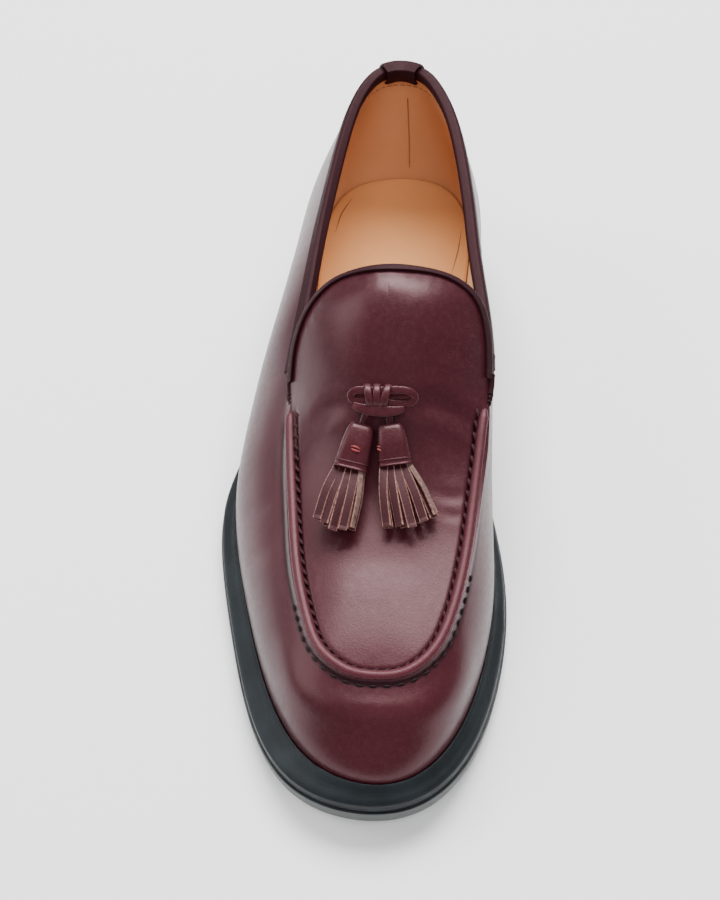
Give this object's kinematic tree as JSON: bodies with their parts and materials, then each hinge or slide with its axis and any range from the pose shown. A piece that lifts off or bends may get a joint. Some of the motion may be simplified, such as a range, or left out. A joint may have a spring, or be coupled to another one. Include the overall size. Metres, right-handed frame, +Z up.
{
  "type": "tassel loafer",
  "caption": "Right-foot slip-on leather shoe with a raised moccasin seam, a bound collar, a tongue with a tied knot and tassels, and a welted rubber sole with a low block heel.",
  "frame": {"origin": "on the floor, under the middle of the sole's length and width", "axes": "-Y towards the toe, +X towards the inner side of the foot, +Z up"},
  "size_m": [0.1056, 0.3, 0.0991],
  "materials": {
    "outsole": "moulded rubber, fine lines round the edge",
    "welt": "smooth moulded rubber",
    "heel": "moulded rubber",
    "insole": "natural tan, matte",
    "upper": "smooth burgundy calf, polished",
    "collar_binding": "smooth burgundy, rolled edge",
    "tongue_binding": "smooth burgundy, rolled edge",
    "back_strip": "smooth burgundy",
    "tassel_knot": "smooth burgundy lace",
    "tassel_lateral": "smooth burgundy, cut strips",
    "tassel_medial": "smooth burgundy, cut strips"
  },
  "bodies": {
    "root": {"outsole": "outsole", "welt": "welt", "heel": "heel", "insole": "insole", "upper": "upper", "collar_binding": "collar_binding", "tongue_binding": "tongue_binding", "back_strip": "back_strip", "tassel_knot": "tassel_knot", "tassel_lateral": "tassel_lateral", "tassel_medial": "tassel_medial"}
  },
  "joints": []
}
